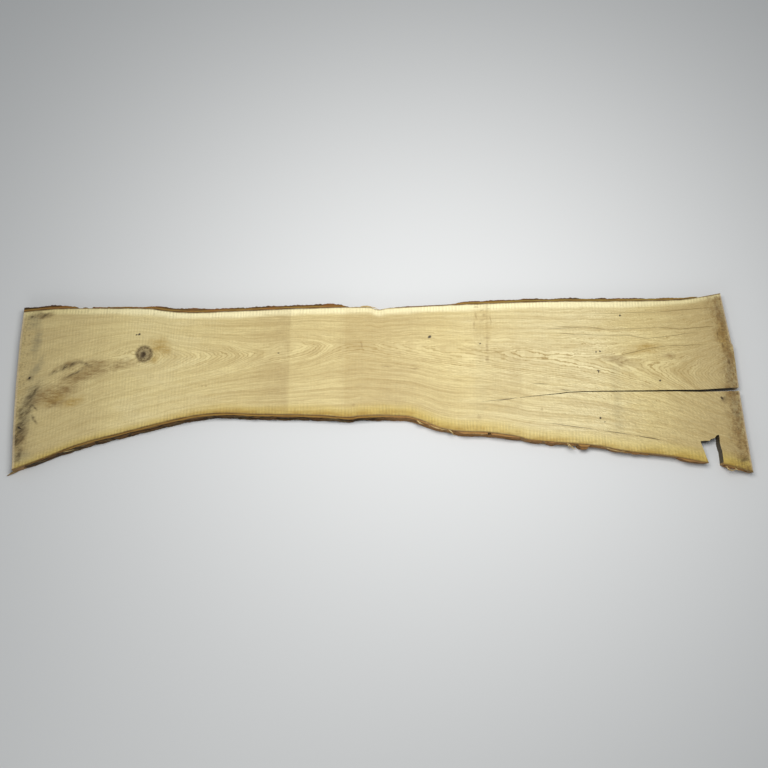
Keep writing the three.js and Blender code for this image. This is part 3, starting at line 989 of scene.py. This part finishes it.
def slab_wear(place, outward):
    """How deep a wall of the slab is worn, from how that wall was made."""
    if place.x < LEFT_SAWN or place.x > RIGHT_SAWN and outward.x > 0.8:
        chainsaw_steps = grain_noise(place, 400, 260, 5)
        scratches = grain_noise(place, 400, 45, 1.6, 7)
        return 0.9 * chainsaw_steps + 0.5 * scratches
    in_notch = NOTCH_ALONG[0] < place.x < NOTCH_ALONG[1] and place.y < NOTCH_INNER
    if in_notch and place.y > NOTCH_OUTER and outward.y < -0.3:
        return 3.5 * grain_noise(place, 6, 9, 16) + 1.5 * grain_noise(place, 2.5, 9, 8, 3)
    if in_notch and abs(outward.x) > 0.7:
        return 0.8 * grain_noise(place, 9, 40, 5)
    if place.x > CRACK_START and CRACK_SIDES[0] < place.y < CRACK_SIDES[1]:
        opening = min((place.x - CRACK_TIP) / CRACK_WIDENS, 1)
        fibres = grain_noise(place, 34, 90, 4)
        splits = grain_noise(place, 9, 90, 14, 5)
        return opening * (0.5 * fibres + 0.3 * splits)
    lobes = grain_noise(place, 70, 90, 18)
    fibres = grain_noise(place, 38, 90, 3.2, 11)
    return 0.9 * lobes + 0.9 * fibres


wear = slab_wear(Vector((0, far_line(0), THICKNESS / MM / 2)), Vector((0, 1, 0)))
print("the far flank's middle is worn", round(wear, 2), "mm")

# %% Make the slab
WALL_CELL = (0.008, 0.007, 0.005)
WALL_TILT = 0.7


def is_wall(face):
    return abs(face.normal.z) < WALL_TILT


refine(bm, WALL_CELL, is_wall)
press_in(bm, is_wall, slab_wear)
fill_sawn_faces(bm)
slab = to_piece(bm, "sawn_slab", oak_top)
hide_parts("oak_slab")
print("slab has", len(slab.data.polygons), "faces")

# %% [markdown]
# ## Carving the knot and the fine cracks
# The knot's heart has rotted out to a shallow pit, and beyond the wide crack the wood has opened in
# hairlines that follow the grain. They are too narrow to model as walls, so they are carved: one
# cutter holds a rough ball and a row of thin blades, and a Boolean modifier takes it out of the slab.

# %% Shape the cutters, in millimetres
PIT_RADIUS = 10
PIT_STRETCH = 1.15
PIT_DEPTH = 7
BLADE_DEPTH = 16
BLADE_STEPS = 11
BLADE_DRIFT = 5


def blade(start, end, width):
    """A thin lens between two places on the face, tapering to nothing at its ends and its foot."""
    bm = bmesh.new()
    bmesh.ops.create_cube(bm, size=1.0)
    lengthwise = [edge for edge in bm.edges if abs(edge.verts[0].co.x - edge.verts[1].co.x) > 0.5]
    bmesh.ops.subdivide_edges(bm, edges=lengthwise, cuts=BLADE_STEPS)
    run = Vector(end) - Vector(start)
    angle = math.atan2(run.y, run.x)
    centre = (Vector(start) + Vector(end)) / 2
    for point in bm.verts:
        bow = math.sin(math.pi * (point.co.x + 0.5))
        taper = max(bow, 0.04) * (0.25 if point.co.z < 0 else 1.0)
        along = point.co.x * run.length
        drift = grain_noise(Vector((along, start[1], 0)), 45, 60, 60) - 0.5
        side = point.co.y * width * taper + drift * BLADE_DRIFT * bow
        point.co.x = (centre.x + along * math.cos(angle) - side * math.sin(angle)) * MM
        point.co.y = (centre.y + along * math.sin(angle) + side * math.cos(angle)) * MM
        point.co.z = THICKNESS + point.co.z * 2 * BLADE_DEPTH * MM
    return bm


def rough_pit():
    bm = bmesh.new()
    bmesh.ops.create_icosphere(bm, subdivisions=3, radius=1.0)
    for point in bm.verts:
        rough = 0.8 + 0.5 * noise.noise(point.co * 2.3)
        size = Vector((PIT_RADIUS, PIT_RADIUS * PIT_STRETCH, PIT_DEPTH)) * rough * MM
        point.co = point.co * size + Vector((KNOT[0] * MM, KNOT[1] * MM, THICKNESS))
    return bm


def gather(shapes):
    """Several closed shapes as one bmesh, with all their faces turned outwards."""
    together = bmesh.new()
    for bm in shapes:
        mesh = bpy.data.meshes.new("shape")
        bm.to_mesh(mesh)
        bm.free()
        together.from_mesh(mesh)
        bpy.data.meshes.remove(mesh)
    bmesh.ops.recalc_face_normals(together, faces=together.faces)
    return together


blades = [blade((x0, y0), (x1, y1), width) for x0, y0, x1, y1, width in FINE_CRACKS]
cutters = gather([*blades, rough_pit()])
print("the cutters have", len(cutters.faces), "faces")

# %% Carve
tool_mesh = bpy.data.meshes.new("carving_tool")
cutters.to_mesh(tool_mesh)
cutters.free()
tool = bpy.data.objects.new("carving_tool", tool_mesh)
bpy.context.scene.collection.objects.link(tool)
carve = slab.modifiers.new("carve", "BOOLEAN")
carve.operation = "DIFFERENCE"
carve.solver = "MANIFOLD"
carve.object = tool
carved = bpy.data.meshes.new_from_object(slab.evaluated_get(bpy.context.evaluated_depsgraph_get()))
slab.modifiers.clear()
slab.data = carved
bpy.data.objects.remove(tool)
print("carved slab has", len(slab.data.polygons), "faces")

# %% [markdown]
# ## Bark
# Oak bark is cork in long plates with furrows between them, over a fibrous inner bark that lies on the
# wood. The saw went through all of it, so from above the bark is a thin ribbon of layers, and only
# from the side does it show its furrows. The finish tells these layers apart by how far out from the
# wood a point is. The furrows are real geometry, and each point keeps how deep in one it lies, so that
# the finish can paint shade into the furrows there.

# %% Mix the bark's finish
CAMBIUM_LINE = tone(92, 62, 30)
INNER_BARK = tone(148, 114, 52)
BARK_BROWN = tone(98, 72, 38)
BARK_ORANGE = tone(138, 86, 40)
# The next tone is painted shade in the furrows, and also the dark sawn bark at the left end.
BARK_DARK_AND_FURROW_SHADE = tone(44, 34, 22)
BARK_GREY = tone(112, 102, 72)
PEELED_TAN = tone(164, 120, 72)
INNER_OLIVE = tone(150, 128, 62)
SAWN_SKIN = (0.0022, 0.0006)
THREAD_DEPTH = 0.0009


def bark_finish():
    finish = Finish("bark", 0.88)
    edges = Edges(finish)
    out = -1 * finish.of("MINIMUM", edges.from_far, edges.from_near)
    layer = out + (finish.cloud((0.07, 0.02, 0.03), 3) - 0.5) * 0.008
    threads = finish.cloud((0.05, 0.0016, 0.0022), 3, 0.6)
    patches = finish.cloud((0.16, 0.05, 0.05), 3, 0.6)
    on_far_side = finish.smooth(finish.y, -0.1, 0.1)
    rusty = finish.smooth(patches, 0.42, 0.62) * (0.25 + 0.75 * on_far_side)
    rusty = rusty * (1 - 0.6 * on_far_side * finish.smooth(finish.x, 0.2, 0.6))
    near_right = finish.smooth(finish.x, -0.05, 0.15) * (1 - on_far_side)
    peeled = near_right * (0.35 + 0.4 * finish.smooth(patches, 0.3, 0.6))
    outer = finish.mix(rusty * 0.5, BARK_BROWN, BARK_ORANGE)
    grey = finish.smooth(finish.cloud((0.09, 0.04, 0.02), 3), 0.48, 0.68)
    outer = finish.mix(grey * 0.8, outer, BARK_GREY)
    furrow = finish.add("ShaderNodeAttribute", {"attribute_name": "furrow"}, {}, "Fac")
    # Painted shade: the deeper a point lies in a furrow, the nearer its colour goes to dark brown.
    outer = finish.mix(finish.smooth(furrow, 0.10, 0.85) * 0.8, outer, BARK_DARK_AND_FURROW_SHADE)
    sawn = finish.smooth(finish.z, THICKNESS - SAWN_SKIN[0], THICKNESS - SAWN_SKIN[1])
    inner_band = 1 - finish.smooth(layer, 0.008, 0.012)
    left_end = 1 - finish.smooth(finish.x, -1.75, -1.65)
    olive = finish.smooth(finish.x, 0.2, 0.6) * on_far_side
    inner_tone = finish.mix(olive * 0.7, INNER_BARK, INNER_OLIVE)
    sawn_face = finish.mix(inner_band, finish.mix(left_end * 0.7, BARK_BROWN, BARK_DARK_AND_FURROW_SHADE), inner_tone)
    sawn_face = finish.mix(1 - finish.smooth(layer, 0.0015, 0.0035), sawn_face, CAMBIUM_LINE)
    sawn_face = finish.mix(rusty * 0.6, sawn_face, BARK_ORANGE)
    colour = finish.mix(sawn * 0.85, outer, sawn_face)
    colour = finish.mix(peeled, colour, PEELED_TAN)
    colour = finish.darken(colour, finish.smooth(threads, 0.45, 0.75) * 0.55)
    finish.join(colour, finish.shader.inputs["Base Color"])
    finish.join(finish.raise_by(threads, THREAD_DEPTH), finish.shader.inputs["Normal"])
    return finish.material


bark_brown = bark_finish()
print("bark has", len(bark_brown.node_tree.nodes), "nodes")

# %% [markdown]
# ### Furrows and torn ends
# Bark splits as the trunk thickens, in plates that are long up the trunk and narrow round it. A Voronoi
# pattern stretched that way gives the plates, and where its two nearest centres are equally far there is
# a furrow. Nothing may be worn past the wood, so each depth is a share of the bark over it. An end that
# no saw cut is torn: it is drawn in, more at some heights than at others. Another noise bends the plates,
# one that gives a vector. Blender takes its pattern from the clock unless it is given a seed, so it gets
# one here, and the bark comes out the same each time.

# %% How deep bark is furrowed, in millimetres
PLATE = Vector((110, 60, 15))
PLATE_BEND = Vector((24, 0, 8))
FURROW_WIDTH = 0.36
FURROW_SHARE = (0.14, 0.38)  # of the bark's thickness, at the top face and well below it
THREAD_SHARE = 0.10
CHIP_SHARE = 0.24
FOOT_FLARE = 6.5
UNDER_THE_SAW = 14
NOISE_SEED = 5
noise.seed_set(NOISE_SEED)


def furrow_at(place):
    """How deep in a furrow a place is: 0 on a plate and 1 where two plates meet."""
    bend = noise.noise_vector(Vector((place.x / 60, place.y / 60, place.z / 22)))
    cell = place + bend * PLATE_BEND
    nearest = noise.voronoi(Vector((cell.x / PLATE.x, cell.y / PLATE.y, cell.z / PLATE.z)))[0]
    return max(0.0, 1 - (nearest[1] - nearest[0]) / FURROW_WIDTH)


def edge_of(place):
    """The line of the natural edge on the side where a place is."""
    return far_line if place.y > 0 else near_line


def bark_wear(place, furrow):
    """How deep the bark is worn at a place: a share of what covers the wood there."""
    foot_flare = FOOT_FLARE * (1 - place.z * MM / THICKNESS)
    cover = max(abs(place.y - edge_of(place)(place.x)) - foot_flare, 0)
    threads = grain_noise(place, 26, 60, 2.4)
    chips = grain_noise(place, 11, 60, 9, 4)
    below_top = min((THICKNESS / MM - place.z) / UNDER_THE_SAW, 1)
    furrowed = FURROW_SHARE[0] + (FURROW_SHARE[1] - FURROW_SHARE[0]) * below_top
    return cover * (furrowed * furrow ** 1.5 + THREAD_SHARE * threads + CHIP_SHARE * chips)


print("plates of bark are", [round(v) for v in PLATE], "mm along, across and up")

# %% How its broken ends are torn, in millimetres
END_REACH = 70
END_TEAR = 0.5
END_MARGIN = 25
SAWN_ENDS = [
    # the ends that the saw cut, which stay straight: a run's name, and the way in from that end
    ("bark_far_left", 1), ("bark_near_strip", -1), ("bark_near_corner", 1),
]


def tear_end(place, end, inwards, reach):
    """Draw a place near the end of a run inwards, unevenly up the end, along the line of the flank."""
    from_end = max((place.x - end) * inwards, 0)
    if from_end > reach:
        return place
    torn = grain_noise(Vector((end, 0, place.z)), 60, 60, 13)
    splinters = grain_noise(Vector((end, 9, place.z)), 60, 60, 4)
    draw = (torn + 0.4 * splinters) * END_TEAR * (reach - from_end)
    along = place.x + inwards * draw
    side_line = edge_of(place)
    return Vector((along, place.y + side_line(along) - side_line(place.x), place.z))


print(len(SAWN_ENDS), "ends stay straight")

# %% Furrow and place each run of bark
BARK_CELL = (0.006, 0.004, 0.0035)
OUTER_TILT = -0.2
LONGEST_TEAR = 0.45  # as a share of the run's length


def clad(name):
    """A run of bark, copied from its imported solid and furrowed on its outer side."""
    bm = walls_of(name)
    low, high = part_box(name)
    side = 1 if low.y > 0 else -1

    def is_outer(face):
        return face.normal.y * side > OUTER_TILT

    reach = min(END_REACH, LONGEST_TEAR * (high.x - low.x) / MM)

    def needs_detail(face):
        along = face.calc_center_median().x
        return is_outer(face) or min(along - low.x, high.x - along) < (reach + END_MARGIN) * MM

    refine(bm, BARK_CELL, needs_detail)
    for end, inwards in ((low.x / MM, 1), (high.x / MM, -1)):
        if (name, inwards) not in SAWN_ENDS:
            for point in bm.verts:
                point.co = tear_end(point.co / MM, end, inwards, reach) * MM
    bm.normal_update()
    in_furrow = bm.verts.layers.float.new("furrow")
    for point in bm.verts:
        if any(is_outer(face) for face in point.link_faces):
            point[in_furrow] = furrow_at(point.co / MM)
            point.co.y -= side * bark_wear(point.co / MM, point[in_furrow]) * MM
    fill_sawn_faces(bm)
    piece = to_piece(bm, name.replace("bark", "furrowed_bark"), bark_brown)
    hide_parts(name)
    return piece


for name in [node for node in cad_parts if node.startswith("bark")]:
    piece = clad(name)
    print(piece.name, len(piece.data.polygons), "triangles")

# %% [markdown]
# ## Scraps of bark
# Where the bark has come away it has left scraps behind. A scrap is a small rough ball, flattened and
# pressed half into the flank, with a few crumbs of the same kind beside it. A scattering tool would be
# quicker, but a short list puts each scrap where the real slab has one.

# %% Leave scraps of bark on the flanks
SCRAPS = [
    # side, along, half length, how far it stands out, lowest and highest, all in millimetres
    (1, -1680, 13, 12, 18, 53), (1, -1625, 18, 11, 30, 53), (1, -1540, 26, 12, 26, 53),
    (1, -1418, 24, 12, 32, 53), (1, -128, 24, 5, 30, 53), (1, -70, 20, 6, 26, 53),
    (1, 20, 16, 4, 12, 40), (1, 70, 18, 5, 30, 53), (1, 120, 24, 6, 34, 53),
    (1, 168, 20, 6, 38, 53), (-1, 222, 15, 9, 30, 51), (-1, 262, 20, 6, 34, 50),
    (-1, 300, 18, 8, 26, 51), (-1, 395, 14, 12, 24, 51), (-1, 470, 18, 7, 14, 44),
    (-1, 700, 30, 6, 10, 42), (-1, 836, 22, 7, 22, 50), (-1, 884, 14, 9, 26, 49),
    (-1, 935, 24, 8, 22, 51), (-1, 985, 20, 9, 26, 51), (-1, 1038, 16, 9, 28, 52),
    (-1, 1062, 12, 12, 30, 52), (-1, 1180, 18, 9, 20, 50), (-1, 1218, 22, 7, 26, 52),
    (-1, 1352, 26, 8, 22, 50), (-1, 1404, 22, 9, 26, 51), (-1, 1456, 24, 7, 22, 50),
    (-1, 1720, 24, 5, 30, 52), (-1, 1905, 14, 9, 26, 49), (-1, 1932, 16, 8, 24, 50),
    (-1, 1968, 18, 6, 28, 51),
]
SCRAP_STRETCH = 1.5
SCRAP_FLATNESS = 0.6
CRUMBS = 3
CRUMB_SPREAD = 3.5
FLOOR_CLEARANCE = 0.5
SAW_CLEARANCE = 0.3


def scrap(side, along, half_length, out, low, high):
    bm = bmesh.new()
    bmesh.ops.create_icosphere(bm, subdivisions=3, radius=1.0)
    side_line = far_line if side > 0 else near_line
    for point in bm.verts:
        grain = Vector((point.co.x * 1.1 + along, point.co.y * 1.6, point.co.z * 2.2))
        lumps = 0.46 * noise.noise(grain) + 0.26 * noise.noise(grain * 2.7)
        rough = 0.72 + lumps + 0.14 * noise.noise(grain * 6)
        x = along + point.co.x * half_length * SCRAP_STRETCH * rough
        y = side_line(x) + side * math.copysign(abs(point.co.y) ** SCRAP_FLATNESS, point.co.y) * out * rough
        z = (low + high) / 2 + point.co.z * (high - low) / 2 * rough
        point.co = Vector((x, y, min(max(z, FLOOR_CLEARANCE), THICKNESS / MM - SAW_CLEARANCE))) * MM
    return bm


def with_crumbs(side, along, half_length, out, low, high):
    """The place of a scrap, then the places of the crumbs that lie beside it."""
    places = [(side, along, half_length, out, low, high)]
    for k in range(CRUMBS):
        shift = noise.noise_vector(Vector((along * 0.37, 7.3 * k, side)))
        size = 0.22 + 0.3 * abs(shift.y)
        middle = min(max((low + high) / 2 + shift.z * 40, 8), 46)
        reach = (high - low) / 2 * size
        crumb_along = along + shift.x * CRUMB_SPREAD * half_length
        places.append((side, crumb_along, half_length * size, out * 0.6, middle - reach, middle + reach))
    return places


places = [place for scrap_place in SCRAPS for place in with_crumbs(*scrap_place)]
scraps = to_piece(gather([scrap(*place) for place in places]), "bark_scraps", bark_brown)
print(len(places), "scraps and crumbs,", len(scraps.data.polygons), "triangles")

# %% [markdown]
# ## Torn fibres
# Long fibres of wood and inner bark curl off the edges where a run was pulled away. A fibre is a thin
# rod that is bent along a curve through three places and tapers to both ends. The export drops hair
# curves, and so few fibres cost little as mesh.

# %% Curl torn fibres off the edges
TORN_FIBRES = [
    # three places (along, across, up) on the fibre, then its width and thickness, in millimetres
    ((262, -236, 50), (320, -268, 53), (384, -278, 49), 5, 2),
    ((212, -214, 52), (226, -236, 50), (252, -246, 44), 8, 3),
    ((236, -222, 51), (268, -238, 53), (284, -262, 46), 6, 3),
    ((300, -256, 52), (336, -264, 53), (352, -284, 44), 5, 2),
    ((372, -272, 50), (398, -286, 51), (420, -312, 42), 6, 3),
    ((440, -288, 51), (520, -300, 52), (592, -304, 50), 5, 3),
    ((1040, -352, 50), (1056, -374, 51), (1082, -388, 44), 6, 3),
    ((1030, -350, 48), (1040, -366, 50), (1046, -386, 41), 4, 2),
    ((1228, -372, 50), (1300, -396, 51), (1372, -404, 49), 4, 2),
    ((1886, -474, 48), (1912, -502, 51), (1948, -492, 47), 5, 2),
    ((1898, -474, 44), (1900, -496, 44), (1926, -508, 41), 4, 2),
    ((1930, -482, 50), (1944, -498, 50), (1962, -503, 44), 4, 2),
    ((-112, 438, 51), (-70, 446, 53), (-14, 434, 52), 7, 3),
    ((-60, 440, 50), (-30, 440, 52), (2, 428, 50), 4, 2),
    ((-1560, 433, 51), (-1500, 441, 52), (-1440, 435, 51), 4, 2),
    ((-1740, -398, 46), (-1700, -398, 44), (-1660, -384, 40), 4, 2),
]
FIBRE_STEPS = 14
FIBRE_CLEARANCE = 0.2
FIBRE_PALE = tone(206, 184, 128)
FIBRE_BROWN = tone(150, 116, 66)


def torn_fibre(start, middle, end, width, thickness):
    bm = bmesh.new()
    bmesh.ops.create_cone(bm, cap_ends=True, segments=8, radius1=0.5, radius2=0.5, depth=1.0)
    lengthwise = [edge for edge in bm.edges if abs(edge.verts[0].co.z - edge.verts[1].co.z) > 0.5]
    bmesh.ops.subdivide_edges(bm, edges=lengthwise, cuts=FIBRE_STEPS)
    start, middle, end = Vector(start), Vector(middle), Vector(end)
    for point in bm.verts:
        t = point.co.z + 0.5
        centre = start * (1 - t) * (1 - 2 * t) + middle * 4 * t * (1 - t) + end * t * (2 * t - 1)
        run = start * (4 * t - 3) + middle * (4 - 8 * t) + end * (4 * t - 1)
        aside = Vector((-run.y, run.x, 0)).normalized()
        taper = min(1, 0.25 + 3 * t, 0.12 + 2.2 * (1 - t)) * (0.8 + 0.5 * grain_noise(centre, 7, 7, 7))
        spot = centre + aside * point.co.x * width * taper
        spot.z = min(spot.z + point.co.y * thickness * taper, THICKNESS / MM - FIBRE_CLEARANCE)
        point.co = spot * MM
    return bm


def fibre_finish():
    finish = Finish("torn_fibre", 0.75)
    streaks = finish.smooth(finish.cloud((0.03, 0.002, 0.002), 3, 0.6), 0.35, 0.65)
    colour = finish.mix(streaks, FIBRE_PALE, FIBRE_BROWN)
    finish.join(colour, finish.shader.inputs["Base Color"])
    finish.join(finish.raise_by(streaks, 0.0006), finish.shader.inputs["Normal"])
    return finish.material


fibres = to_piece(gather([torn_fibre(*f) for f in TORN_FIBRES]), "torn_fibres", fibre_finish())
print(len(TORN_FIBRES), "fibres,", len(fibres.data.polygons), "faces")

# %% [markdown]
# ## Floor
# The slab lies on a plain pale floor, which is not part of it. The floor is far wider than the view, so
# that no edge shows, and it lies a hair below the slab, because two faces at one height would flicker.

# %% Lay the floor
FLOOR_HALF = 20
FLOOR_GAP = 0.0004
FLOOR_TONE = (0.62, 0.62, 0.61, 1)
bm = bmesh.new()
bmesh.ops.create_grid(bm, x_segments=1, y_segments=1, size=FLOOR_HALF)
bmesh.ops.translate(bm, verts=bm.verts, vec=(0, 0, -FLOOR_GAP))
floor_mesh = bpy.data.meshes.new("floor")
bm.to_mesh(floor_mesh)
bm.free()
floor = bpy.data.objects.new("floor", floor_mesh)
bpy.context.scene.collection.objects.link(floor)
paint = Finish("floor_paint", 0.8)
paint.join(FLOOR_TONE, paint.shader.inputs["Base Color"])
floor_mesh.materials.append(paint.material)
print("floor is", 2 * FLOOR_HALF, "m wide")
